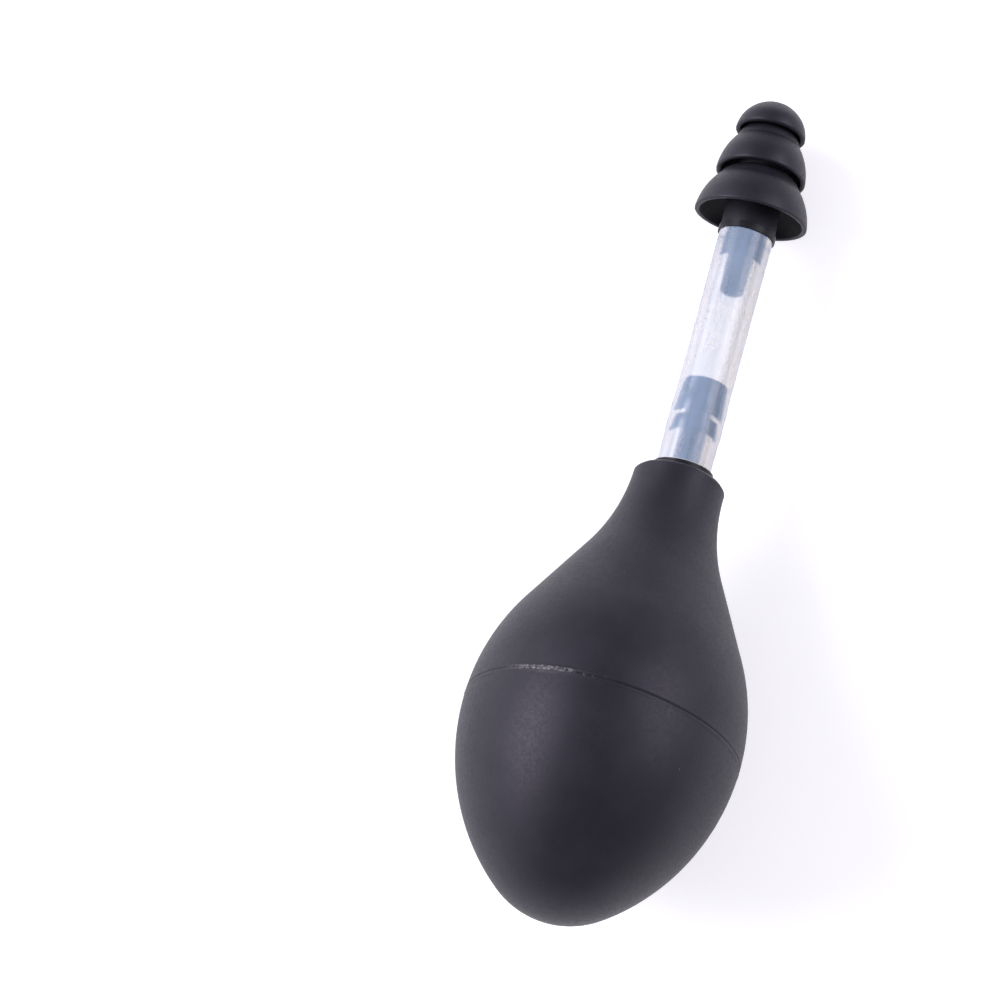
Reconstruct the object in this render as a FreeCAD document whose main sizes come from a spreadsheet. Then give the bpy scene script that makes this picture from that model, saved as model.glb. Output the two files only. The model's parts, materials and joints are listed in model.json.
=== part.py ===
import FreeCAD, Part

import math
import os

import Sketcher

# Squeeze-bulb air blower with a clear tube and a soft three-flange tip, lying on its side.
#
# Three axes carry every piece, and each is the Z axis of its own pieces:
#   bulb axis  from the base of the bulb to its mouth,
#   tube axis  from the mouth, along the neck fitting, the tube and the tip connector,
#   tip axis   from the connector's collar to the outlet of the soft tip.
# The rubber neck and the soft tip give a little, so the tube axis leans off the bulb axis and
# the tip axis leans off the tube axis, each in the XZ plane of the rubber piece that gives.

SIZES = {
    # Bulb: moulded rubber, in two halves bonded at the widest diameter.
    "bulb_length": 53.0,
    "bulb_radius": 15.2,
    "seam_height": 21.8,
    "belly_curve": 25.7,
    "shoulder_curve": 24.0,
    "cone_angle": 28.5,
    "throat_curve": 21.7,
    "neck_radius": 5.1,
    "mouth_round": 2.2,
    "bulb_wall": 1.8,
    "neck_bore_radius": 2.6,
    "bore_overrun": 1.0,
    # Neck fitting: a barbed plug below the collar and a barbed stub above it.
    "neck_lean": 5.4,
    "fitting_bore_radius": 1.1,
    "collar_radius": 3.35,
    "collar_height": 0.75,
    "plug_core_radius": 2.5,
    "plug_barb_radius": 2.9,
    "plug_nose_radius": 2.2,
    "plug_barb_start": 1.2,
    "plug_barb_pitch": 2.5,
    "stub_core_radius": 1.5,
    "stub_barb_radius": 1.85,
    "stub_waist_radius": 1.5,
    "stub_nose_radius": 1.65,
    "stub_low_barb": 4.15,
    "stub_high_barb": 6.5,
    "stub_length": 10.3,
    "edge_round": 0.25,
    # Tube: clear silicone, 3.2 mm inside and 6 mm outside.
    "tube_radius": 3.0,
    "tube_bore_radius": 1.6,
    "tube_length": 27.8,
    # Tip connector: a stepped plug in the tube, a collar, and a stub that the soft tip slides on.
    "connector_bore_radius": 0.9,
    "connector_collar_radius": 3.2,
    "connector_plug_radius": 1.58,
    "connector_plug_length": 2.8,
    "spigot_radius": 1.45,
    "spigot_nose_radius": 1.3,
    "spigot_length": 6.9,
    "tip_stub_radius": 1.5,
    "tip_stub_length": 8.0,
    # Soft tip: a stem with two bell flanges and a dome.
    "tip_lean": 2.0,
    "stub_clearance": 0.03,
    "seat_gap": 0.05,
    "stub_end_gap": 0.3,
    "stem_radius": 3.05,
    "core_radius": 2.6,
    "stem_below_rim": 1.2,
    "flange_pitch": 5.1,
    "lip_thickness": 0.55,
    "lip_curve": 0.3,
    "skirt_radius": 6.3,
    "skirt_shoulder_radius": 4.6,
    "middle_radius": 5.0,
    "middle_shoulder_radius": 3.5,
    "dome_radius": 3.9,
    "dome_height": 3.95,
    "shoulder_rise": 4.4,
    "crown_rise": 5.8,
    "flange_curve": 7.5,
    "crown_curve": 3.0,
    "hollow_rise": 3.3,
    "hollow_curve": 6.0,
    "dome_hollow_rise": 1.3,
    "outlet_radius": 0.9,
    # How the blower lies: the dip of the bulb axis towards the tip, the roll of the plane that
    # the tube axis leans in, from straight up towards +Y, and the further roll of the tip's.
    "rest_dip": 11.0,
    "neck_roll": 19.5,
    "tip_roll": 48.0,
}


class Size:
    """A length or an angle that keeps the spreadsheet expression it comes from."""

    def __init__(self, value, text):
        self.value = value
        self.text = text

    @staticmethod
    def of(other):
        return other if isinstance(other, Size) else Size(other, repr(other))

    def __add__(self, other):
        other = Size.of(other)
        return Size(self.value + other.value, f"({self.text} + {other.text})")

    def __sub__(self, other):
        other = Size.of(other)
        return Size(self.value - other.value, f"({self.text} - {other.text})")

    def __mul__(self, other):
        other = Size.of(other)
        return Size(self.value * other.value, f"({self.text} * {other.text})")

    def __truediv__(self, other):
        other = Size.of(other)
        return Size(self.value / other.value, f"({self.text} / {other.text})")

    def __neg__(self):
        return Size(-self.value, f"(0 - {self.text})")

    def sin(self):
        return Size(math.sin(math.radians(self.value)), f"sin({self.text})")

    def cos(self):
        return Size(math.cos(math.radians(self.value)), f"cos({self.text})")

    def root(self):
        return Size(math.sqrt(self.value), f"sqrt({self.text})")


def make_sheet(document):
    """Writes the driving dimensions to the sheet and returns each as a Size."""
    sheet = document.addObject("Spreadsheet::Sheet", "sizes")
    named = {}
    for row, (name, value) in enumerate(SIZES.items(), start=1):
        sheet.set(f"A{row}", name)
        sheet.set(f"B{row}", str(value))
        sheet.setAlias(f"B{row}", name)
        named[name] = Size(value, f"sizes.{name}")
    document.recompute()
    return named


def line(x, y):
    """A straight edge of an outline, to the point (x, y)."""
    return x, y, None, 0


def left_arc(x, y, radius):
    """An arc of an outline to (x, y) that turns left on its way."""
    return x, y, radius, 1


def right_arc(x, y, radius):
    """An arc of an outline to (x, y) that turns right on its way."""
    return x, y, radius, -1


def edge_geometry(start, end, radius, turn):
    """The sketch geometry of one edge, with the vertex numbers of its two ends."""
    if radius is None:
        return Part.LineSegment(start, end), 1, 2
    chord = end - start
    height = math.sqrt(radius ** 2 - (chord.Length / 2) ** 2)
    normal = FreeCAD.Vector(-chord.y, chord.x, 0).normalize()
    centre = (start + end) / 2 + normal * height * turn
    first, last = (start, end) if turn > 0 else (end, start)
    angles = [math.atan2(point.y - centre.y, point.x - centre.x) for point in (first, last)]
    if angles[1] < angles[0]:
        angles[1] += 2 * math.pi
    circle = Part.Circle(centre, FreeCAD.Vector(0, 0, 1), radius)
    ends = (1, 2) if turn > 0 else (2, 1)
    return Part.ArcOfCircle(circle, *angles), *ends


def draw_outline(body, name, outline, lean=None, pivot=None):
    """A closed sketch on the body's XZ plane; every corner and radius is bound to the sheet.

    With a lean and a pivot the sketch's own axes start at that height of the body's Z axis and
    lean off it, towards +X where the lean is positive.
    """
    sketch = body.newObject("Sketcher::SketchObject", name)
    planes = {feature.Role: feature for feature in body.Origin.OriginFeatures}
    sketch.AttachmentSupport = [(planes["XZ_Plane"], "")]
    sketch.MapMode = "FlatFace"
    if lean is not None:
        sketch.AttachmentOffset = FreeCAD.Placement(
            FreeCAD.Vector(0, pivot.value, 0),
            FreeCAD.Rotation(FreeCAD.Vector(0, 0, 1), -lean.value),
        )
        sketch.setExpression("AttachmentOffset.Base.y", pivot.text)
        sketch.setExpression("AttachmentOffset.Rotation.Angle", f"-1deg * {lean.text}")
    count = len(outline)
    corners = [(Size.of(x), Size.of(y)) for x, y, _, _ in outline]
    points = [FreeCAD.Vector(x.value, y.value, 0) for x, y in corners]
    ends = []
    for index, (_, _, radius, turn) in enumerate(outline):
        size = None if radius is None else Size.of(radius)
        geometry, begins, finishes = edge_geometry(
            points[index - 1], points[index], size and size.value, turn
        )
        edge = sketch.addGeometry(geometry)
        ends.append((begins, finishes))
        if size:
            number = sketch.addConstraint(Sketcher.Constraint("Radius", edge, size.value))
            sketch.setExpression(f"Constraints[{number}]", size.text)
    horizontal_axis, vertical_axis = -1, -2
    for edge, (x, y) in enumerate(corners):
        following = (edge + 1) % count
        finish = ends[edge][1]
        sketch.addConstraint(
            Sketcher.Constraint("Coincident", edge, finish, following, ends[following][0])
        )
        for kind, size, axis in (("DistanceX", x, vertical_axis), ("DistanceY", y, horizontal_axis)):
            if size.value == 0:
                sketch.addConstraint(Sketcher.Constraint("PointOnObject", edge, finish, axis))
                continue
            number = sketch.addConstraint(Sketcher.Constraint(kind, edge, finish, size.value))
            sketch.setExpression(f"Constraints[{number}]", size.text)
    return sketch


def revolve(body, name, sketch):
    """Adds the ring that the sketch sweeps about its own vertical axis."""
    feature = body.newObject("PartDesign::Revolution", name)
    feature.Profile = sketch
    feature.ReferenceAxis = (sketch, ["V_Axis"])
    feature.Angle = 360
    return feature


def groove(document, body, name, sketch):
    """Cuts the ring that the sketch sweeps about its own vertical axis."""
    document.recompute()
    before = body.Shape.Volume
    feature = body.newObject("PartDesign::Groove", name)
    feature.Profile = sketch
    feature.ReferenceAxis = (sketch, ["V_Axis"])
    feature.Angle = 360
    document.recompute()
    if body.Shape.Volume >= before:
        raise RuntimeError(f"{name} cuts nothing")
    return feature


def new_body(document, label):
    body = document.addObject("PartDesign::Body", label)
    body.Label = label
    return body


def belly_profile(s, wall):
    """The corners and radii of the base half's surface, `wall` inside the outer one.

    A wide arc starts square to the seam and runs into a tighter arc round the pole; both arcs
    share a tangent where they meet.
    """
    belly_centre = s["bulb_radius"] - s["belly_curve"]
    squares = s["bulb_radius"] * s["bulb_radius"] + s["seam_height"] * s["seam_height"]
    pole_curve = (squares - s["belly_curve"] * s["bulb_radius"] * 2) / (
        (s["seam_height"] - s["belly_curve"]) * 2
    )
    span = s["belly_curve"] - pole_curve
    cosine = -belly_centre / span
    sine = (s["seam_height"] - pole_curve) / span
    radius = pole_curve - wall
    return {
        "seam_x": s["bulb_radius"] - wall,
        "meet_x": radius * cosine,
        "meet_z": pole_curve - radius * sine,
        "pole_z": Size.of(wall),
        "belly": s["belly_curve"] - wall,
        "pole": radius,
    }


def make_base_half(document, s):
    """The closed half of the bulb, from its pole to the seam: a bowl of even wall."""
    body = new_body(document, "bulb_base_half")
    outer = belly_profile(s, 0)
    inner = belly_profile(s, s["bulb_wall"])
    seam = s["seam_height"]
    outline = [
        left_arc(outer["seam_x"], seam, outer["belly"]),
        line(inner["seam_x"], seam),
        right_arc(inner["meet_x"], inner["meet_z"], inner["belly"]),
        right_arc(0, inner["pole_z"], inner["pole"]),
        line(0, 0),
        left_arc(outer["meet_x"], outer["meet_z"], outer["pole"]),
    ]
    revolve(body, "base_shell", draw_outline(body, "base_outline", outline))
    return body


def make_neck_half(document, s):
    """The open half of the bulb: a shoulder, a cone, a flared throat and a rounded mouth."""
    body = new_body(document, "bulb_neck_half")
    seam = s["seam_height"]
    sine = s["cone_angle"].sin()
    cosine = s["cone_angle"].cos()
    tangent = sine / cosine
    centre_x = s["bulb_radius"] - s["shoulder_curve"]

    def shoulder(wall):
        radius = s["shoulder_curve"] - wall
        return centre_x + radius * cosine, seam + radius * sine, radius

    shoulder_x, shoulder_z, shoulder_radius = shoulder(0)
    inner_x, inner_z, inner_radius = shoulder(s["bulb_wall"])
    cone_end_x = s["neck_radius"] + s["throat_curve"] * (Size.of(1) - cosine)
    cone_end_z = shoulder_z + (shoulder_x - cone_end_x) / tangent
    throat_z = cone_end_z + s["throat_curve"] * sine
    mouth_z = s["bulb_length"]
    bore_z = inner_z + (inner_x - s["neck_bore_radius"]) / tangent
    outline = [
        line(s["bulb_radius"], seam),
        left_arc(shoulder_x, shoulder_z, shoulder_radius),
        line(cone_end_x, cone_end_z),
        right_arc(s["neck_radius"], throat_z, s["throat_curve"]),
        left_arc(s["neck_radius"] - s["mouth_round"], mouth_z, s["mouth_round"]),
        line(0, mouth_z),
        line(0, bore_z),
        line(s["neck_bore_radius"], bore_z),
        line(inner_x, inner_z),
        right_arc(s["bulb_radius"] - s["bulb_wall"], seam, inner_radius),
    ]
    revolve(body, "neck_shell", draw_outline(body, "neck_outline", outline))
    # The bore follows the leaning fitting, and the mouth is seated square to it.
    radius = s["neck_bore_radius"]
    bottom = bore_z - mouth_z - s["bore_overrun"]
    bore = [
        line(0, bottom),
        line(radius, bottom),
        line(radius, 0),
        line(s["neck_radius"], 0),
        line(s["neck_radius"], s["collar_height"]),
        line(0, s["collar_height"]),
    ]
    sketch = draw_outline(body, "bore_outline", bore, s["neck_lean"], s["bulb_length"])
    groove(document, body, "neck_bore", sketch)
    return body


def make_neck_fitting(document, s):
    """A moulded plug with two barbs each side of a thin collar, bored right through."""
    body = new_body(document, "neck_fitting")
    bore = s["fitting_bore_radius"]
    top = s["collar_height"]
    low_barb = top + s["stub_low_barb"]
    high_barb = top + s["stub_high_barb"]
    first = -s["plug_barb_start"]
    second = first - s["plug_barb_pitch"]
    nose = second - s["plug_barb_pitch"]
    outline = [
        line(bore, nose),
        line(s["plug_nose_radius"], nose),
        line(s["plug_barb_radius"], second),
        line(s["plug_core_radius"], second),
        line(s["plug_barb_radius"], first),
        line(s["plug_core_radius"], first),
        line(s["plug_core_radius"], 0),
        line(s["collar_radius"], 0),
        line(s["collar_radius"], top),
        line(s["stub_core_radius"], top),
        line(s["stub_core_radius"], low_barb),
        line(s["stub_barb_radius"], low_barb),
        line(s["stub_waist_radius"], high_barb),
        line(s["stub_barb_radius"], high_barb),
        line(s["stub_nose_radius"], top + s["stub_length"] - s["edge_round"]),
        left_arc(
            s["stub_nose_radius"] - s["edge_round"], top + s["stub_length"], s["edge_round"]
        ),
        line(bore, top + s["stub_length"]),
    ]
    revolve(body, "fitting", draw_outline(body, "fitting_outline", outline))
    return body


def make_tube(document, s):
    """A plain length of tube, cut square, standing on the neck fitting's collar."""
    body = new_body(document, "tube")
    base = s["collar_height"]
    top = base + s["tube_length"]
    outline = [
        line(s["tube_bore_radius"], base),
        line(s["tube_radius"], base),
        line(s["tube_radius"], top),
        line(s["tube_bore_radius"], top),
    ]
    revolve(body, "tube_wall", draw_outline(body, "tube_outline", outline))
    return body


def make_tip_connector(document, s):
    """A plug and a tapered spigot in the tube, a collar on it, and a smooth stub above."""
    body = new_body(document, "tip_connector")
    bore = s["connector_bore_radius"]
    seat = s["collar_height"] + s["tube_length"]
    collar_top = seat + s["collar_height"]
    stub_top = collar_top + s["tip_stub_length"]
    rounding = s["edge_round"]
    outline = [
        line(bore, seat - s["spigot_length"]),
        line(s["spigot_nose_radius"] - rounding, seat - s["spigot_length"]),
        left_arc(s["spigot_nose_radius"], seat - s["spigot_length"] + rounding, rounding),
        line(s["spigot_radius"], seat - s["connector_plug_length"]),
        line(s["connector_plug_radius"], seat - s["connector_plug_length"]),
        line(s["connector_plug_radius"], seat),
        line(s["connector_collar_radius"], seat),
        line(s["connector_collar_radius"], collar_top),
        line(s["tip_stub_radius"], collar_top),
        line(s["tip_stub_radius"], stub_top - rounding),
        left_arc(s["tip_stub_radius"] - rounding, stub_top, rounding),
        line(bore, stub_top),
    ]
    revolve(body, "connector", draw_outline(body, "connector_outline", outline))
    return body


def flange_outline(s, rim_radius, rim_z, shoulder_radius):
    """A bell flange: a convex outside, a rounded lip and a hollow underside round the stem."""
    half_lip = s["lip_thickness"] / 2
    inside = rim_radius - s["lip_thickness"]
    return [
        line(s["outlet_radius"], rim_z + s["hollow_rise"]),
        line(s["core_radius"], rim_z + s["hollow_rise"]),
        right_arc(inside, rim_z + half_lip, s["hollow_curve"]),
        left_arc(rim_radius, rim_z + half_lip, s["lip_curve"]),
        left_arc(shoulder_radius, rim_z + s["shoulder_rise"], s["flange_curve"]),
        left_arc(s["core_radius"], rim_z + s["crown_rise"], s["crown_curve"]),
        line(s["outlet_radius"], rim_z + s["crown_rise"]),
    ]


def make_ear_tip(document, s):
    """The soft tip: a stem, two hollow bell flanges and a dome, with a bore through to the top."""
    body = new_body(document, "ear_tip")
    rims = [s["stem_below_rim"] + s["flange_pitch"] * step for step in range(3)]
    hollow_top = rims[0] + s["hollow_rise"]
    dome_floor = rims[2] + s["dome_hollow_rise"]
    stem = [
        line(0, -s["collar_height"]),
        line(s["stem_radius"], -s["collar_height"]),
        line(s["stem_radius"], hollow_top),
        line(s["core_radius"], hollow_top),
        line(s["core_radius"], dome_floor),
        line(0, dome_floor),
    ]
    revolve(body, "stem", draw_outline(body, "stem_outline", stem))
    bells = [
        ("skirt", s["skirt_radius"], rims[0], s["skirt_shoulder_radius"]),
        ("middle", s["middle_radius"], rims[1], s["middle_shoulder_radius"]),
    ]
    for name, rim_radius, rim_z, shoulder_radius in bells:
        outline = flange_outline(s, rim_radius, rim_z, shoulder_radius)
        revolve(body, f"{name}_flange", draw_outline(body, f"{name}_outline", outline))
    half_lip = s["lip_thickness"] / 2
    inside = s["dome_radius"] - s["lip_thickness"]
    dome = [
        line(0, dome_floor),
        line(s["core_radius"], dome_floor),
        line(inside, rims[2] + half_lip),
        left_arc(s["dome_radius"], rims[2] + half_lip, s["lip_curve"]),
        left_arc(0, rims[2] + s["dome_height"], s["dome_radius"]),
    ]
    revolve(body, "dome", draw_outline(body, "dome_outline", dome))
    # The stub's bore follows the connector, and the stem's foot is cut square to it.
    bore_radius = s["tip_stub_radius"] + s["stub_clearance"]
    foot_radius = s["stem_radius"] + s["collar_height"]
    bore_top = s["tip_stub_length"] + s["stub_end_gap"]
    bore = [
        line(0, -s["stem_below_rim"]),
        line(foot_radius, -s["stem_below_rim"]),
        line(foot_radius, s["seat_gap"]),
        line(bore_radius, s["seat_gap"]),
        line(bore_radius, bore_top),
        line(0, bore_top),
    ]
    lean = -s["tip_lean"]
    sketch = draw_outline(body, "bore_outline", bore, lean, Size.of(0.0))
    groove(document, body, "stub_bore", sketch)
    outlet = [
        line(0, bore_top - s["collar_height"]),
        line(s["outlet_radius"], bore_top - s["collar_height"]),
        line(s["outlet_radius"], rims[2] + s["dome_height"] + s["collar_height"]),
        line(0, rims[2] + s["dome_height"] + s["collar_height"]),
    ]
    groove(document, body, "outlet", draw_outline(body, "outlet_outline", outlet))
    return body


def turn(axis, degrees):
    """A placement that turns about one of the axes through the origin."""
    return FreeCAD.Placement(FreeCAD.Vector(0, 0, 0), FreeCAD.Rotation(axis, degrees))


def shift(x, y, z):
    return FreeCAD.Placement(FreeCAD.Vector(x, y, z), FreeCAD.Rotation())


def axis_frames(s):
    """The placements of the bulb, tube and tip axes, with the bulb's pole at the origin."""
    y_axis = FreeCAD.Vector(0, 1, 0)
    z_axis = FreeCAD.Vector(0, 0, 1)
    bulb = turn(y_axis, 90 + s["rest_dip"].value)
    bulb = bulb.multiply(turn(z_axis, 180 - s["neck_roll"].value))
    tube = bulb.multiply(shift(0, 0, s["bulb_length"].value))
    tube = tube.multiply(turn(y_axis, s["neck_lean"].value))
    collar_top = s["collar_height"] * 2 + s["tube_length"]
    tip = tube.multiply(shift(0, 0, collar_top.value))
    tip = tip.multiply(turn(z_axis, -s["tip_roll"].value))
    tip = tip.multiply(turn(y_axis, s["tip_lean"].value))
    return {"bulb": bulb, "tube": tube, "tip": tip}


def lay_down(document, frames, placed):
    """Places every piece, then centres the whole over the origin with its lowest point at zero."""
    for frame_name, bodies in placed.items():
        for body in bodies:
            body.Placement = frames[frame_name]
    document.recompute()
    box = FreeCAD.BoundBox()
    for bodies in placed.values():
        for body in bodies:
            box.add(body.Shape.optimalBoundingBox(False))
    centre = shift(-box.Center.x, -box.Center.y, -box.ZMin)
    for frame_name, bodies in placed.items():
        frames[frame_name] = centre.multiply(frames[frame_name])
        for body in bodies:
            body.Placement = frames[frame_name]
    document.recompute()


def check_document(document, bodies):
    """Stops where a feature failed or a piece is not one valid solid."""
    for item in document.Objects:
        if {"Invalid", "Error"} & set(item.State):
            raise RuntimeError(f"{item.Name} failed: {item.State}")
    for body in bodies:
        shape = body.Shape
        if shape.isNull() or not shape.isValid() or len(shape.Solids) != 1:
            raise RuntimeError(f"{body.Label} is not one valid solid")


def report(frames, bodies):
    """Prints where the axes lie and how large each piece is."""
    for name, frame in frames.items():
        base = frame.Base
        axis = frame.Rotation.multVec(FreeCAD.Vector(0, 0, 1))
        print(f"{name} axis: from ({base.x:.4f}, {base.y:.4f}, {base.z:.4f})"
              f" along ({axis.x:.6f}, {axis.y:.6f}, {axis.z:.6f})")
    for body in bodies:
        box = body.Shape.optimalBoundingBox(False)
        print(f"{body.Label}: {body.Shape.Volume:.1f} mm3, x {box.XMin:.2f} to {box.XMax:.2f},"
              f" y {box.YMin:.2f} to {box.YMax:.2f}, z {box.ZMin:.3f} to {box.ZMax:.2f}")


def main():
    document = FreeCAD.newDocument("squeeze_blower")
    s = make_sheet(document)
    placed = {
        "bulb": [make_base_half(document, s), make_neck_half(document, s)],
        "tube": [
            make_neck_fitting(document, s),
            make_tube(document, s),
            make_tip_connector(document, s),
        ],
        "tip": [make_ear_tip(document, s)],
    }
    bodies = [body for group in placed.values() for body in group]
    document.recompute()
    check_document(document, bodies)
    frames = axis_frames(s)
    lay_down(document, frames, placed)
    check_document(document, bodies)
    report(frames, bodies)
    os.makedirs("parts", exist_ok=True)
    for body in bodies:
        body.Shape.exportStep(f"parts/{body.Label}.step")


main()
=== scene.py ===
import json
import math

import bmesh
import bpy
from mathutils import Matrix, Vector, noise


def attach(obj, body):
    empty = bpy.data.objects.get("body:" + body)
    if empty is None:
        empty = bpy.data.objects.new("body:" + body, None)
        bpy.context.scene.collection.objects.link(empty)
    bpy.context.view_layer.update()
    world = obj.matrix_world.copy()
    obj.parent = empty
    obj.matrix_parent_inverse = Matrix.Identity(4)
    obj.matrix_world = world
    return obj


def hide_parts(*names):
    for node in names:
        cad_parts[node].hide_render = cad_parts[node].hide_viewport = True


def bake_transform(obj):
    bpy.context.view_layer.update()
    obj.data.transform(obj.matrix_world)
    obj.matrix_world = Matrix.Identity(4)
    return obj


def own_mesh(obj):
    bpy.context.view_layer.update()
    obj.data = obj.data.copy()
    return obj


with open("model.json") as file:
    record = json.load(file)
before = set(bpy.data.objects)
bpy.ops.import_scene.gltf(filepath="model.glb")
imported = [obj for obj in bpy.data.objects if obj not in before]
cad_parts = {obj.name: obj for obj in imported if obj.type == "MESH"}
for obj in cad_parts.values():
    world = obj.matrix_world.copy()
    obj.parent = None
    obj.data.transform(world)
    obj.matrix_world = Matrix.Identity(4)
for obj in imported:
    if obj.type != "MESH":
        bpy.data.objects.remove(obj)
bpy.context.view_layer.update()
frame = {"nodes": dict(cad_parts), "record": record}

# Looks of the squeeze-bulb blower. Lengths below are in millimetres and are the part's own;
# MM turns them into the metres of the frame.
MM = 0.001

# Bulb
BULB_LENGTH, BULB_RADIUS, SEAM_HEIGHT, BULB_WALL = 53.0, 15.2, 21.8, 1.8
BELLY_CURVE, SHOULDER_CURVE, CONE_ANGLE, THROAT_CURVE = 25.7, 24.0, 28.5, 21.7
NECK_RADIUS, MOUTH_ROUND, NECK_BORE = 5.1, 2.2, 2.6
AROUND_BULB, BULB_STEP = 288, 0.9

# Seam: the hairline between the halves, how far from it the relief and its extra rings reach,
# and where across the bulb the torn flash fades in and out.
SEAM_GAP, SEAM_REACH = 0.02, 1.6
SEAM_RINGS = (1.5, 1.1, 0.8, 0.6, 0.48, 0.40, 0.32, 0.24, 0.17, 0.11, 0.06, 0.02)
PATCH_IN, PATCH_OUT = (-11.8, -9.2), (-5.3, -3.8)
TRAIL_IN, TRAIL_OUT = (-12.3, -10.0), (-3.4, 1.0)
FLASH_IN, FLASH_OUT = (-11.8, -9.6), (-5.2, -3.7)

# Tube and fittings
COLLAR_HEIGHT, STUB_LENGTH, SPIGOT_LENGTH, PLUG_LENGTH = 0.75, 10.3, 6.9, 2.8
TUBE_RADIUS, TUBE_BORE, TUBE_LENGTH = 3.0, 1.6, 27.8
BARB_HEIGHTS = (4.15, 6.5)
# CUT_HIGHLIGHT_REACH is how far up from the tube's lower cut end the painted highlight band
# reaches.
BORE_GRIP, BORE_EASE, CUT_HIGHLIGHT_REACH = 0.06, 0.8, 0.16
AROUND_TUBE, TUBE_STEP, TUBE_ROUND = 192, 0.45, 0.08

# Soft tip
STEM_RADIUS, CORE_RADIUS, OUTLET_RADIUS = 3.05, 2.6, 0.9
STUB_RADIUS, STUB_DEPTH, SEAT_GAP = 1.53, 8.3, 0.05
RIM_HEIGHTS = (1.2, 6.3, 11.4)
SKIRT_RADIUS, SKIRT_SHOULDER = 6.3, 4.6
MIDDLE_RADIUS, MIDDLE_SHOULDER = 5.0, 3.5
DOME_RADIUS, DOME_HEIGHT, DOME_HOLLOW = 3.9, 3.95, 1.3
LIP, LIP_CURVE, SHOULDER_RISE, CROWN_RISE = 0.55, 0.3, 4.4, 5.8
FLANGE_CURVE, CROWN_CURVE, HOLLOW_RISE, HOLLOW_CURVE = 7.5, 3.0, 3.3, 6.0
AROUND_TIP, TIP_STEP, TIP_ROUND = 192, 0.4, 0.09

# Clear silicone: the share and colour of its milky face, the white of the painted highlight along
# its lower cut end, how it bends and blurs light, and what its wall leaves of light that runs
# through it.
MILK, HAZE, CUT_HIGHLIGHT_WHITE = 0.31, (0.55, 0.73, 1.0), (0.95, 0.94, 0.98)
SILICONE_IOR, SILICONE_BLUR = 1.41, 0.2
WARM, WALL_DENSITY = (0.86, 0.74, 0.56), 330.0


# ---------------------------------------------------------------- axes

record = frame["record"]
joints = {joint["name"]: joint for joint in record["behaviour"]["joints"]}
mounts = {mount["name"]: mount for mount in record["mounts"]}


def axis_frame(origin, axis):
    """Z along the axis, X as near straight up as it can be, Y to the right of both."""
    z = Vector(axis).normalized()
    x = (Vector((0, 0, 1)) - z * z.z).normalized()
    y = z.cross(x)
    turn = Matrix((x, y, z)).transposed().to_4x4()
    return Matrix.Translation(origin) @ turn


bulb_axis = Vector(joints["squeeze"]["axis"]).normalized()
bulb_origin = Vector(mounts["hand_grip"]["pos_m"]) - bulb_axis * SEAM_HEIGHT * MM
BULB = axis_frame(bulb_origin, bulb_axis)
tube_axis = Vector(joints["tip_pull"]["axis"]).normalized()
mouth = bulb_origin + bulb_axis * BULB_LENGTH * MM
TUBE = axis_frame(mouth, tube_axis)
tip_axis = Vector(mounts["tip_seal"]["axis"]).normalized()
tip_origin = mouth + tube_axis * (COLLAR_HEIGHT * 2 + TUBE_LENGTH) * MM
TIP = axis_frame(tip_origin, tip_axis)
TIP_SEAT = axis_frame(tip_origin, tube_axis)
MOUTH_SEAT = axis_frame(mouth, tube_axis)


def placed(matrix, point):
    """A point in millimetres of an axis frame, in the row frame's metres."""
    return matrix @ (Vector(point) * MM)


def smoothstep(low, high, value):
    share = min(1.0, max(0.0, (value - low) / (high - low)))
    return share * share * (3 - 2 * share)


# ---------------------------------------------------------------- outlines

def line(x, z, tag=""):
    return x, z, None, 0, tag


def left_arc(x, z, radius, tag=""):
    return x, z, radius, 1, tag


def right_arc(x, z, radius, tag=""):
    return x, z, radius, -1, tag


def trace(start, edges, step):
    """Points along an outline, closer together towards the ends of each edge."""
    points = [(start[0], start[1], edges[0][4])]
    at = start
    for x, z, radius, turn, tag in edges:
        chord = math.dist(at, (x, z))
        if radius is None:
            length = chord
        else:
            half = math.asin(min(1.0, chord / 2 / radius))
            length = 2 * half * radius
            rise = math.sqrt(max(0.0, radius ** 2 - (chord / 2) ** 2))
            nx, nz = -(z - at[1]) / chord, (x - at[0]) / chord
            cx = (at[0] + x) / 2 + nx * rise * turn
            cz = (at[1] + z) / 2 + nz * rise * turn
            first = math.atan2(at[1] - cz, at[0] - cx)
        count = max(6, math.ceil(length / step * math.pi / 2))
        for index in range(1, count + 1):
            share = (1 - math.cos(math.pi * index / count)) / 2
            if radius is None:
                point = (at[0] + (x - at[0]) * share, at[1] + (z - at[1]) * share)
            else:
                angle = first + 2 * half * turn * share
                point = (cx + radius * math.cos(angle), cz + radius * math.sin(angle))
            points.append((point[0], point[1], tag))
        at = (x, z)
    return points


def soften(points, width):
    """Rounds a closed outline's corners: each point becomes the mean of the outline near it."""
    path = points + [points[0]]
    lengths = [0.0]
    for before, after in zip(path, path[1:]):
        lengths.append(lengths[-1] + math.dist(before[:2], after[:2]))
    total = lengths[-1]

    def at(distance):
        distance = distance % total
        low, high = 0, len(lengths) - 1
        while high - low > 1:
            middle = (low + high) // 2
            if lengths[middle] <= distance:
                low = middle
            else:
                high = middle
        span = lengths[high] - lengths[low]
        share = (distance - lengths[low]) / span if span > 0 else 0.0
        return (
            path[low][0] + (path[high][0] - path[low][0]) * share,
            path[low][1] + (path[high][1] - path[low][1]) * share,
        )

    rounded = []
    samples = 8
    weights = [0.5] + [1.0] * (samples - 1) + [0.5]
    for (_, _, tag), distance in zip(points, lengths):
        near = [at(distance + width * (2 * i / samples - 1)) for i in range(samples + 1)]
        total_weight = sum(weights)
        rounded.append((
            sum(w * p[0] for w, p in zip(weights, near)) / total_weight,
            sum(w * p[1] for w, p in zip(weights, near)) / total_weight,
            tag,
        ))
    return rounded


# ---------------------------------------------------------------- turned meshes

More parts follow.
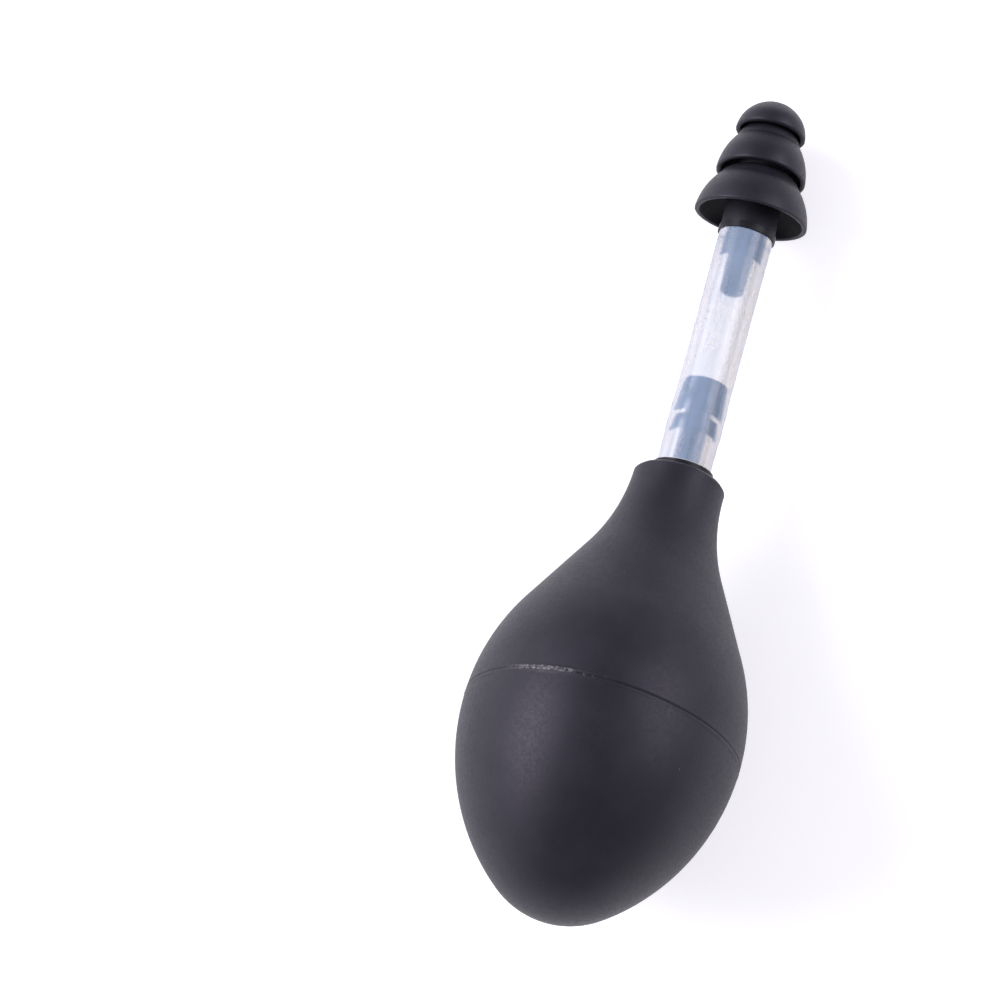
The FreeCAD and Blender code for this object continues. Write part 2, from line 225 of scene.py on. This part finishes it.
def lathe(name, outline, around, closed, place, finishes):
    """Turns an outline about its axis. place(own point, tag) gives the point in the row frame,
    and finishes the material of each tag, with the common one under "".

    The attribute "own" keeps each point's place in the piece's own axis frame, in millimetres,
    so that a material stays on the surface when the piece bends or flattens.
    """
    mesh = bmesh.new()
    own = mesh.verts.layers.float_vector.new("own")
    rings = []
    for radius, height, tag in outline:
        if radius < 1e-6:
            vertex = mesh.verts.new(place(Vector((0, 0, height)), tag))
            vertex[own] = (0, 0, height)
            rings.append([vertex])
            continue
        ring = []
        for step in range(around):
            angle = 2 * math.pi * step / around
            point = Vector((radius * math.cos(angle), radius * math.sin(angle), height))
            vertex = mesh.verts.new(place(point, tag))
            vertex[own] = point
            ring.append(vertex)
        rings.append(ring)
    slots = list(dict.fromkeys(finishes.values()))
    tags = [tag for _, _, tag in outline]
    pairs = list(zip(rings, rings[1:], tags[1:]))
    if closed:
        pairs.append((rings[-1], rings[0], tags[0]))
    for lower, upper, tag in pairs:
        slot = slots.index(finishes.get(tag, finishes[""]))
        if len(lower) == 1 and len(upper) == 1:
            continue
        for step in range(around):
            following = (step + 1) % around
            if len(lower) == 1:
                corners = [lower[0], upper[following], upper[step]]
            elif len(upper) == 1:
                corners = [lower[step], lower[following], upper[0]]
            else:
                corners = [lower[step], lower[following], upper[following], upper[step]]
            mesh.faces.new(corners).material_index = slot
    bmesh.ops.recalc_face_normals(mesh, faces=mesh.faces)
    data = bpy.data.meshes.new(name)
    mesh.to_mesh(data)
    mesh.free()
    for polygon in data.polygons:
        polygon.use_smooth = True
    piece = bpy.data.objects.new(name, data)
    bpy.context.scene.collection.objects.link(piece)
    for finish in slots:
        piece.data.materials.append(finish)
    return piece


# ---------------------------------------------------------------- materials

def new_material(name):
    made = bpy.data.materials.new(name)
    made.use_nodes = True
    made.node_tree.nodes.clear()
    return made


def add(tree, kind, values=None, links=None, **settings):
    """Adds a node with settings, socket values and links from other nodes' sockets."""
    node = tree.nodes.new(kind)
    for key, value in settings.items():
        setattr(node, key, value)
    for key, value in (values or {}).items():
        node.inputs[key].default_value = value
    for key, socket in (links or {}).items():
        tree.links.new(socket, node.inputs[key])
    return node


def shade(tree, surface, volume=None):
    """Ends a material with its surface shader and, in a clear one, its volume shader."""
    output = tree.nodes.new("ShaderNodeOutputMaterial")
    tree.links.new(surface.outputs[0], output.inputs["Surface"])
    if volume:
        tree.links.new(volume.outputs[0], output.inputs["Volume"])


def math_node(tree, operation, first, second=None, clamp=False):
    values, links = {}, {}
    for index, item in enumerate((first, second)):
        if item is None:
            continue
        if isinstance(item, (int, float)):
            values[index] = item
        else:
            links[index] = item
    node = add(tree, "ShaderNodeMath", values, links, operation=operation, use_clamp=clamp)
    return node.outputs[0]


def map_range(tree, value, low, high, out_low=0.0, out_high=1.0):
    node = add(
        tree, "ShaderNodeMapRange",
        {"From Min": low, "From Max": high, "To Min": out_low, "To Max": out_high},
        {"Value": value}, interpolation_type="SMOOTHSTEP",
    )
    return node.outputs["Result"]


def mix_colour(tree, share, first, second):
    node = tree.nodes.new("ShaderNodeMix")
    node.data_type = "RGBA"
    factor, low, high = (node.inputs[index] for index in (0, 6, 7))
    for socket, item in ((factor, share), (low, first), (high, second)):
        if isinstance(item, (int, float)):
            socket.default_value = item
        elif isinstance(item, tuple):
            socket.default_value = (*item, 1.0)
        else:
            tree.links.new(item, socket)
    return node.outputs[2]


def own_place(tree):
    return add(tree, "ShaderNodeAttribute", attribute_name="own").outputs["Vector"]


def noise_of(tree, place, scale, detail=2.0, roughness=0.5):
    return add(
        tree, "ShaderNodeTexNoise", {"Scale": scale, "Detail": detail, "Roughness": roughness},
        {"Vector": place},
    ).outputs[0]


def seam_shade_and_flash(tree, place, colour, rough):
    """A dark hairline of painted shade in the seam's crease, and the white torn flash on its upper
    side.
    """
    split = add(tree, "ShaderNodeSeparateXYZ", links={"Vector": place})
    off_seam = math_node(tree, "ABSOLUTE", math_node(
        tree, "SUBTRACT", split.outputs["Z"], SEAM_HEIGHT - SEAM_GAP))
    near = map_range(tree, off_seam, 0.34, 0.1)
    hair = map_range(tree, off_seam, 0.16, 0.04)
    side = split.outputs["Y"]
    top = map_range(tree, split.outputs["X"], 0.0, 4.0)
    patch = math_node(tree, "MULTIPLY", map_range(tree, side, *PATCH_IN),
                      map_range(tree, side, *reversed(PATCH_OUT)))
    trail = math_node(tree, "MULTIPLY", map_range(tree, side, *TRAIL_IN),
                      map_range(tree, side, *reversed(TRAIL_OUT)))
    scuff = noise_of(tree, place, 2.4, 5.0, 0.75)
    torn = map_range(tree, scuff, 0.40, 0.62)
    sparse = map_range(tree, scuff, 0.52, 0.70)
    white = math_node(tree, "MULTIPLY", math_node(tree, "MULTIPLY", patch, near), torn)
    faint = math_node(tree, "MULTIPLY", math_node(tree, "MULTIPLY", trail, near), sparse)
    white = math_node(tree, "MULTIPLY", top, math_node(
        tree, "MAXIMUM", white, math_node(tree, "MULTIPLY", faint, 0.5)))
    # Painted shade: the rubber is darkened along the seam's crease, where the step casts its
    # shade.
    colour = mix_colour(
        tree, math_node(tree, "MULTIPLY", hair, 0.25), colour, (0.010, 0.010, 0.014))
    colour = mix_colour(
        tree, math_node(tree, "MULTIPLY", white, 0.6), colour, (0.34, 0.33, 0.35))
    rough = math_node(
        tree, "ADD", rough, math_node(tree, "MULTIPLY", white, 0.3), clamp=True)
    return colour, rough


def soft_rubber(name, dark, light, rough_low, rough_high, grain, shine=0.36, seam=False):
    """Matt moulded rubber: mottled tone and gloss, a fine grain and a few specks of dust."""
    made = new_material(name)
    tree = made.node_tree
    place = own_place(tree)
    broad = noise_of(tree, place, 0.22, 3.0)
    fine = noise_of(tree, place, 2.6, 4.0, 0.6)
    grains = noise_of(tree, place, 9.0, 2.0, 0.6)
    tone = map_range(tree, broad, 0.35, 0.65)
    colour = mix_colour(tree, tone, dark, light)
    dots = add(
        tree, "ShaderNodeTexVoronoi", {"Scale": 0.42, "Randomness": 1.0}, {"Vector": place},
    )
    size = math_node(tree, "MULTIPLY", dots.outputs["Color"], 0.06)
    speck = math_node(tree, "LESS_THAN", dots.outputs["Distance"], math_node(
        tree, "SUBTRACT", size, 0.022))
    colour = mix_colour(
        tree, math_node(tree, "MULTIPLY", speck, 0.35), colour, (0.30, 0.29, 0.31))
    height = math_node(tree, "ADD", math_node(tree, "MULTIPLY", grains, 0.5),
                       math_node(tree, "MULTIPLY", fine, 0.5))
    rough = map_range(tree, fine, 0.3, 0.7, rough_low, rough_high)
    if seam:
        colour, rough = seam_shade_and_flash(tree, place, colour, rough)
    bump = add(
        tree, "ShaderNodeBump", {"Strength": grain, "Distance": 0.02 * MM}, {"Height": height})
    surface = add(
        tree, "ShaderNodeBsdfPrincipled",
        {"Specular IOR Level": shine, "Specular Tint": (0.90, 0.86, 1.0, 1.0)},
        {"Base Color": colour, "Roughness": rough, "Normal": bump.outputs["Normal"]},
    )
    shade(tree, surface)
    return made


def object_place(tree):
    """The place on a carried part, in millimetres: it is in the mesh, whose object never moves."""
    spot = add(tree, "ShaderNodeTexCoord")
    return add(
        tree, "ShaderNodeVectorMath", {1: (1000.0, 1000.0, 1000.0)},
        {0: spot.outputs["Object"]}, operation="MULTIPLY",
    ).outputs[0]


def hard_plastic(name, colour_low, colour_high):
    """Moulded satin plastic with faint flow marks."""
    made = new_material(name)
    tree = made.node_tree
    place = object_place(tree)
    flow = noise_of(tree, place, 0.8, 3.0)
    fine = noise_of(tree, place, 6.0, 3.0)
    colour = mix_colour(tree, flow, colour_low, colour_high)
    rough = map_range(tree, fine, 0.3, 0.7, 0.36, 0.48)
    bump = add(
        tree, "ShaderNodeBump", {"Strength": 0.12, "Distance": 0.02 * MM}, {"Height": fine})
    surface = add(
        tree, "ShaderNodeBsdfPrincipled", {"Specular IOR Level": 0.2},
        {"Base Color": colour, "Roughness": rough, "Normal": bump.outputs["Normal"]},
    )
    shade(tree, surface)
    return made


def clear_silicone():
    """Clear silicone that bends light: milky at its face, white with a painted highlight along its
    lower cut end, and warm where light runs far in it.
    """
    made = new_material("clear_silicone")
    tree = made.node_tree
    place = own_place(tree)
    stretched = add(
        tree, "ShaderNodeVectorMath", {1: (1.0, 1.0, 0.06)}, {0: place}, operation="MULTIPLY",
    ).outputs[0]
    streaks = noise_of(tree, stretched, 1.1, 3.0)
    cloud = noise_of(tree, place, 0.5, 3.0)
    mixed = math_node(tree, "ADD", math_node(tree, "MULTIPLY", streaks, 0.6),
                      math_node(tree, "MULTIPLY", cloud, 0.4))
    density = map_range(tree, mixed, 0.3, 0.7, MILK * 0.85, MILK * 1.15)
    across = add(
        tree, "ShaderNodeVectorMath", {1: (1.0, 1.0, 0.0)}, {0: place}, operation="MULTIPLY",
    ).outputs[0]
    radius = add(
        tree, "ShaderNodeVectorMath", links={0: across}, operation="LENGTH").outputs["Value"]
    on_face = map_range(tree, radius, TUBE_BORE + 0.5, TUBE_RADIUS - 0.3, 0.1, 1.0)
    along = add(tree, "ShaderNodeSeparateXYZ", links={"Vector": place}).outputs["Z"]
    # Painted highlight: a white band along the tube's lower cut end stands in for the brightly lit
    # cut edge.
    cut = COLLAR_HEIGHT + CUT_HIGHLIGHT_REACH
    cut_highlight = map_range(tree, along, cut + 0.06, cut - 0.04, 0.0, 0.8)
    share = math_node(tree, "MAXIMUM", math_node(tree, "MULTIPLY", density, on_face), cut_highlight)
    colour = mix_colour(tree, cut_highlight, HAZE, CUT_HIGHLIGHT_WHITE)
    milky = add(
        tree, "ShaderNodeBsdfPrincipled", {"Roughness": 0.3, "Specular IOR Level": 0.3},
        {"Base Color": colour},
    )
    clear = add(
        tree, "ShaderNodeBsdfPrincipled",
        {"Base Color": (0.98, 0.98, 0.98, 1.0), "Roughness": SILICONE_BLUR, "IOR": SILICONE_IOR,
         "Transmission Weight": 1.0},
    )
    mixer = add(
        tree, "ShaderNodeMixShader", links={0: share, 1: clear.outputs[0], 2: milky.outputs[0]})
    wall = add(
        tree, "ShaderNodeVolumeAbsorption", {"Color": (*WARM, 1.0), "Density": WALL_DENSITY})
    shade(tree, mixer, wall)
    return made


def pale_floor():
    made = new_material("floor")
    tree = made.node_tree
    place = object_place(tree)
    tone = noise_of(tree, place, 0.004, 2.0)
    colour = mix_colour(tree, tone, (0.93, 0.93, 0.93), (0.95, 0.95, 0.95))
    surface = add(
        tree, "ShaderNodeBsdfPrincipled",
        {"Roughness": 0.9, "Specular IOR Level": 0.1, "Emission Color": (1.0, 1.0, 1.0, 1.0),
         "Emission Strength": 0.30},
        {"Base Color": colour},
    )
    shade(tree, surface)
    return made


bulb_rubber = soft_rubber(
    "bulb_rubber", (0.0065, 0.0062, 0.0100), (0.0100, 0.0096, 0.0145), 0.47, 0.56, 0.35, seam=True)
tip_rubber = soft_rubber(
    "tip_silicone", (0.0060, 0.0057, 0.0090), (0.0092, 0.0088, 0.0130), 0.42, 0.52, 0.25)
plastic = hard_plastic("fitting_plastic", (0.007, 0.0075, 0.010), (0.011, 0.0115, 0.015))
# Painted shade: the undersides of the skirt and the dome get a rubber far darker than the tip's
# own, standing in for the shade in those hollows.
tip_hollow_painted_shade = soft_rubber(
    "tip_silicone_hollow_painted_shade", (0.0015, 0.0015, 0.0024), (0.0030, 0.0030, 0.0042), 0.45, 0.55, 0.25,
    shine=0.12)
# Partly painted light: the stem under the skirt gets a rubber lighter than the tip's own, standing
# in for light that reaches it there, with some of the lightness for dust on it.
tip_stem_dust_and_painted_light = soft_rubber(
    "tip_silicone_stem_dust_and_painted_light", (0.011, 0.011, 0.014), (0.020, 0.020, 0.024), 0.50, 0.6, 0.25, shine=0.2)
# Painted light: the middle rim's underside and the stretches between the flanges get a rubber
# lighter than the tip's own, lifting the shade there.
tip_gap_painted_light = soft_rubber(
    "tip_silicone_gap_painted_light", (0.034, 0.034, 0.042), (0.050, 0.050, 0.060), 0.50, 0.6, 0.25, shine=0.25)
silicone = clear_silicone()


# ---------------------------------------------------------------- bulb

def belly(wall):
    """The base half's surface, wall millimetres inside: two arcs that share a tangent."""
    centre = BULB_RADIUS - BELLY_CURVE
    squares = BULB_RADIUS ** 2 + SEAM_HEIGHT ** 2
    pole = (squares - BELLY_CURVE * BULB_RADIUS * 2) / ((SEAM_HEIGHT - BELLY_CURVE) * 2)
    span = BELLY_CURVE - pole
    radius = pole - wall
    return {
        "seam": BULB_RADIUS - wall,
        "meet": (radius * -centre / span, pole - radius * (SEAM_HEIGHT - pole) / span),
        "wide": BELLY_CURVE - wall,
        "tight": radius,
    }


def seam_relief(point):
    """How far the outer skin stands off its turned shape: a fine crease and flash at the seam."""
    off = point.z - SEAM_HEIGHT
    if abs(off) > SEAM_REACH:
        return 0.0
    angle = math.atan2(point.y, point.x)
    wander = noise.noise(Vector((math.cos(angle), math.sin(angle), 0.3)) * 9.0)
    fine = noise.noise(Vector((point.x, point.y, point.z * 3)) * 3.2)
    crease = -0.055 * math.exp(-(off / 0.085) ** 2)
    ridge = 0.035 * math.exp(-((off + 0.32) / 0.16) ** 2) * (1 + 0.6 * wander)
    lip = 0.015 * math.exp(-((off - 0.28) / 0.14) ** 2) * (1 + 0.8 * wander)
    flash = 0.0
    if point.x > 0:
        share = smoothstep(*FLASH_IN, point.y) * (1 - smoothstep(*FLASH_OUT, point.y))
        flash = share * (0.07 + 0.10 * fine) * math.exp(-(off / 0.20) ** 2)
    return crease + ridge + lip + flash


def on_bulb(point, tag):
    if tag == "skin":
        flat = Vector((point.x, point.y, 0))
        if flat.length > 0:
            point = point + flat.normalized() * seam_relief(point)
    return placed(BULB, point)


outer, inner = belly(0), belly(BULB_WALL)


def densify(points, heights, tag):
    """Adds rings to the outline's skin at the given heights."""
    made = []
    for before, after in zip(points, points[1:]):
        made.append(before)
        if before[2] != tag and after[2] != tag:
            continue
        low, high = sorted((before[1], after[1]))
        inside = [h for h in heights if low + 0.01 < h < high - 0.01]
        inside.sort(reverse=after[1] < before[1])
        for height in inside:
            share = (height - before[1]) / (after[1] - before[1])
            made.append((before[0] + (after[0] - before[0]) * share, height, tag))
    made.append(points[-1])
    return made


base_outline = trace((0, 0), [
    left_arc(*outer["meet"], outer["tight"], "skin"),
    left_arc(outer["seam"], SEAM_HEIGHT - SEAM_GAP, outer["wide"], "skin"),
    line(inner["seam"], SEAM_HEIGHT - SEAM_GAP, "joint"),
    right_arc(*inner["meet"], inner["wide"], "inside"),
    right_arc(0, BULB_WALL, inner["tight"], "inside"),
], BULB_STEP)
base_outline = densify(base_outline, [SEAM_HEIGHT - off for off in SEAM_RINGS], "skin")
base = lathe("bulb_base", base_outline, AROUND_BULB, False, on_bulb, {"": bulb_rubber})
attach(base, "base")
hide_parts("bulb_base_half")

sine, cosine = math.sin(math.radians(CONE_ANGLE)), math.cos(math.radians(CONE_ANGLE))
centre_x = BULB_RADIUS - SHOULDER_CURVE


def shoulder(wall):
    radius = SHOULDER_CURVE - wall
    return centre_x + radius * cosine, SEAM_HEIGHT + radius * sine, radius


shoulder_x, shoulder_z, shoulder_radius = shoulder(0)
inner_x, inner_z, inner_radius = shoulder(BULB_WALL)
cone_x = NECK_RADIUS + THROAT_CURVE * (1 - cosine)
cone_z = shoulder_z + (shoulder_x - cone_x) * cosine / sine
throat_z = cone_z + THROAT_CURVE * sine
bore_z = inner_z + (inner_x - NECK_BORE) * cosine / sine


def on_neck(point, tag):
    """The neck follows the bulb's axis; its mouth and bore are square to the leaning fitting."""
    in_bulb = on_bulb(point, tag)
    local = Vector((point.x, point.y, point.z - BULB_LENGTH))
    in_tube = placed(MOUTH_SEAT, local)
    if tag in ("bore", "mouth"):
        share = 1.0
    elif tag == "round":
        share = smoothstep(NECK_RADIUS, NECK_RADIUS - MOUTH_ROUND, math.hypot(point.x, point.y))
    else:
        share = 0.0
    return in_bulb.lerp(in_tube, share)


neck_outline = trace((BULB_RADIUS, SEAM_HEIGHT), [
    left_arc(shoulder_x, shoulder_z, shoulder_radius, "skin"),
    line(cone_x, cone_z, "skin"),
    right_arc(NECK_RADIUS, throat_z, THROAT_CURVE, "skin"),
    left_arc(NECK_RADIUS - MOUTH_ROUND, BULB_LENGTH, MOUTH_ROUND, "round"),
    line(NECK_BORE, BULB_LENGTH, "mouth"),
    line(NECK_BORE, bore_z, "bore"),
    line(inner_x, inner_z, "inside"),
    right_arc(BULB_RADIUS - BULB_WALL, SEAM_HEIGHT, inner_radius, "inside"),
    line(BULB_RADIUS, SEAM_HEIGHT, "joint"),
], BULB_STEP)
neck_outline = densify(neck_outline, [SEAM_HEIGHT + off for off in SEAM_RINGS], "skin")
neck_outline.pop()
neck = lathe("bulb_neck", neck_outline, AROUND_BULB, True, on_neck, {"": bulb_rubber})
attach(neck, "bulb")
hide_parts("bulb_neck_half")
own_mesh(neck)


# ---------------------------------------------------------------- tube

def tube_swell(height):
    """How far the barbs inside push the tube's wall out."""
    above = height - COLLAR_HEIGHT
    swell = 0.0
    for barb in BARB_HEIGHTS:
        swell += 0.06 * math.exp(-((above - barb - 0.4) / 0.9) ** 2)
    return swell + 0.03 * math.exp(-((above - STUB_LENGTH * 0.5) / 4.0) ** 2)


def bore_radius(height):
    """The bore closes on the top barb and on the connector's plug, and stands off elsewhere."""
    above = height - COLLAR_HEIGHT
    on_barb = smoothstep(BARB_HEIGHTS[1] - 0.12, BARB_HEIGHTS[1], above)
    on_barb *= 1 - smoothstep(STUB_LENGTH + 0.05, STUB_LENGTH + BORE_EASE, above)
    on_plug = smoothstep(TUBE_LENGTH - PLUG_LENGTH - 0.25, TUBE_LENGTH - PLUG_LENGTH, above)
    return TUBE_BORE - BORE_GRIP * max(on_barb, on_plug)


def on_tube(point, tag):
    flat = Vector((point.x, point.y, 0))
    if tag == "bore":
        grown = bore_radius(point.z) - TUBE_BORE
    else:
        grown = tube_swell(point.z)
    return placed(TUBE, point + flat.normalized() * grown)


tube_low, tube_high = COLLAR_HEIGHT, COLLAR_HEIGHT + TUBE_LENGTH
low_barb, high_barb = (COLLAR_HEIGHT + height for height in BARB_HEIGHTS)
free_low = COLLAR_HEIGHT + STUB_LENGTH
free_high = tube_high - SPIGOT_LENGTH
tube_outline = trace((TUBE_BORE, tube_low), [
    line(TUBE_RADIUS, tube_low, "skin"),
    # The ring at the top of the painted highlight band along the lower cut end.
    line(TUBE_RADIUS, tube_low + CUT_HIGHLIGHT_REACH, "skin"),
    line(TUBE_RADIUS, low_barb, "skin"),
    line(TUBE_RADIUS, high_barb, "skin"),
    line(TUBE_RADIUS, free_low, "skin"),
    line(TUBE_RADIUS, free_high, "skin"),
    line(TUBE_RADIUS, tube_high, "skin"),
    line(TUBE_BORE, tube_high, "skin"),
    line(TUBE_BORE, tube_high - PLUG_LENGTH, "bore"),
    line(TUBE_BORE, free_high, "bore"),
    line(TUBE_BORE, free_low + BORE_EASE, "bore"),
    line(TUBE_BORE, free_low, "bore"),
    line(TUBE_BORE, high_barb, "bore"),
    line(TUBE_BORE, low_barb, "bore"),
    line(TUBE_BORE, tube_low, "bore"),
], TUBE_STEP)
tube_outline.pop()
tube_outline = soften(tube_outline, TUBE_ROUND)
tube = lathe("tube_sleeve", tube_outline, AROUND_TUBE, True, on_tube, {"": silicone})
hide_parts("tube")
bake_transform(tube)


# ---------------------------------------------------------------- soft tip

def bell(rim_radius, rim, shoulder_radius, under="gap"):
    """The outline of a bell flange from its crown to its hollow underside, downwards."""
    return [
        right_arc(shoulder_radius, rim + SHOULDER_RISE, CROWN_CURVE, "bell"),
        right_arc(rim_radius, rim + LIP / 2, FLANGE_CURVE, "bell"),
        right_arc(rim_radius - LIP, rim + LIP / 2, LIP_CURVE, "lip"),
        left_arc(CORE_RADIUS, rim + HOLLOW_RISE, HOLLOW_CURVE, under),
    ]


skirt_rim, middle_rim, dome_rim = RIM_HEIGHTS
dome_top = dome_rim + DOME_HEIGHT
edge_z = dome_top - DOME_RADIUS + math.sqrt(DOME_RADIUS ** 2 - OUTLET_RADIUS ** 2)
tip_outline = trace((OUTLET_RADIUS, edge_z), [
    right_arc(DOME_RADIUS, dome_rim + LIP / 2, DOME_RADIUS, "dome"),
    right_arc(DOME_RADIUS - LIP, dome_rim + LIP / 2, LIP_CURVE, "lip"),
    line(CORE_RADIUS, dome_rim + DOME_HOLLOW, "hollow"),
    line(CORE_RADIUS, middle_rim + CROWN_RISE, "gap"),
    *bell(MIDDLE_RADIUS, middle_rim, MIDDLE_SHOULDER),
    line(CORE_RADIUS, skirt_rim + CROWN_RISE, "gap"),
    *bell(SKIRT_RADIUS, skirt_rim, SKIRT_SHOULDER, "hollow"),
    line(STEM_RADIUS, skirt_rim + HOLLOW_RISE, "stem"),
    line(STEM_RADIUS, SEAT_GAP, "stem"),
    line(STUB_RADIUS, SEAT_GAP, "foot"),
    line(STUB_RADIUS, STUB_DEPTH, "bore"),
    line(OUTLET_RADIUS, STUB_DEPTH, "bore"),
    line(OUTLET_RADIUS, edge_z, "outlet"),
], TIP_STEP)
tip_outline.pop()
tip_outline = soften(tip_outline, TIP_ROUND)

# Soft rims that lie over a little: how far each rim's upper side leans towards the tip's end.
RIM_LEANS = ((skirt_rim, SKIRT_RADIUS, 0.0), (middle_rim, MIDDLE_RADIUS, 4.5),
             (dome_rim, DOME_RADIUS, 4.0))
SKIRT_PRESS = 0.045


def on_tip(point, tag):
    if tag in ("foot", "bore"):
        return placed(TIP_SEAT, point)
    radius = math.hypot(point.x, point.y)
    moved = point.copy()
    for rim, rim_radius, lean in RIM_LEANS:
        if radius <= CORE_RADIUS or not rim - 0.5 < point.z < rim + SHOULDER_RISE:
            continue
        reach = smoothstep(CORE_RADIUS, rim_radius, radius)
        reach *= 1 - smoothstep(rim + 1.5, rim + SHOULDER_RISE, point.z)
        moved.z += math.tan(math.radians(lean)) * point.x * reach
    if point.z < skirt_rim + 3.0 and radius > STEM_RADIUS and point.x < 0:
        reach = smoothstep(STEM_RADIUS, SKIRT_RADIUS, radius)
        reach *= 1 - smoothstep(skirt_rim + 0.8, skirt_rim + 3.0, point.z)
        moved.z += SKIRT_PRESS * -point.x * reach
        moved.x += 0.01 * -point.x * reach
    return placed(TIP, moved)


# Painted shade in the dome's and skirt's hollows, painted light in the gaps between flanges and,
# with some dust, on the stem.
tip = lathe("ear_tip_soft", tip_outline, AROUND_TIP, True, on_tip, {
    "": tip_rubber, "hollow": tip_hollow_painted_shade, "gap": tip_gap_painted_light, "stem": tip_stem_dust_and_painted_light})
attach(tip, "tip")
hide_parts("ear_tip")


# ---------------------------------------------------------------- fittings

for name in ("neck_fitting", "tip_connector"):
    part = frame["nodes"][name]
    part.data.materials.clear()
    part.data.materials.append(plastic)


# ---------------------------------------------------------------- floor, light and camera

FLOOR_HALF = 1.6
floor_mesh = bmesh.new()
bmesh.ops.create_grid(floor_mesh, x_segments=8, y_segments=8, size=FLOOR_HALF)
floor_data = bpy.data.meshes.new("floor")
floor_mesh.to_mesh(floor_data)
floor_mesh.free()
floor = bpy.data.objects.new("floor", floor_data)
bpy.context.scene.collection.objects.link(floor)
floor.location.z = -0.02 * MM
floor_data.materials.append(pale_floor())

SOFT_WHITE = (1.0, 0.97, 1.06)
world = bpy.data.worlds.new("studio")
bpy.context.scene.world = world
world.use_nodes = True
sky = world.node_tree
sky.nodes.clear()
direction = add(sky, "ShaderNodeTexCoord")
parts = add(sky, "ShaderNodeSeparateXYZ", links={"Vector": direction.outputs["Generated"]})
WORLD_LOW, WORLD_HIGH = 0.52, 0.36
strength = map_range(sky, parts.outputs["Z"], 0.05, 0.85, WORLD_LOW, WORLD_HIGH)
back = add(sky, "ShaderNodeBackground", {"Color": (*SOFT_WHITE, 1.0)}, {"Strength": strength})
sky_out = sky.nodes.new("ShaderNodeOutputWorld")
sky.links.new(back.outputs[0], sky_out.inputs["Surface"])


def softbox(name, at, size, radiance):
    """A rectangular area light of the given radiance, aimed at the part."""
    data = bpy.data.lights.new(name, "AREA")
    data.shape = "RECTANGLE"
    data.size, data.size_y = size
    data.energy = radiance * math.pi * size[0] * size[1]
    data.color = SOFT_WHITE
    lamp = bpy.data.objects.new(name, data)
    bpy.context.scene.collection.objects.link(lamp)
    lamp.location = at
    lamp.rotation_mode = "QUATERNION"
    lamp.rotation_quaternion = Vector(at).to_track_quat("Z", "Y")


softbox("key", (-0.03, 0.72, 0.48), (0.8, 0.42), 8.4)
softbox("fill", (0.36, -0.56, 0.56), (0.7, 0.42), 5.0)

CAMERA_AT = (-0.14636, -0.01389, 0.67480)
CAMERA_TURN = (12.299, -0.922, -73.118)
LENS, SENSOR = 226.8, 36.0
camera_data = bpy.data.cameras.new("camera")
camera_data.lens, camera_data.sensor_width = LENS, SENSOR
camera_data.clip_start, camera_data.clip_end = 0.01, 10.0
camera = bpy.data.objects.new("camera", camera_data)
bpy.context.scene.collection.objects.link(camera)
camera.location = CAMERA_AT
camera.rotation_euler = [math.radians(angle) for angle in CAMERA_TURN]
bpy.context.scene.camera = camera
bpy.context.scene.view_settings.view_transform = "Standard"
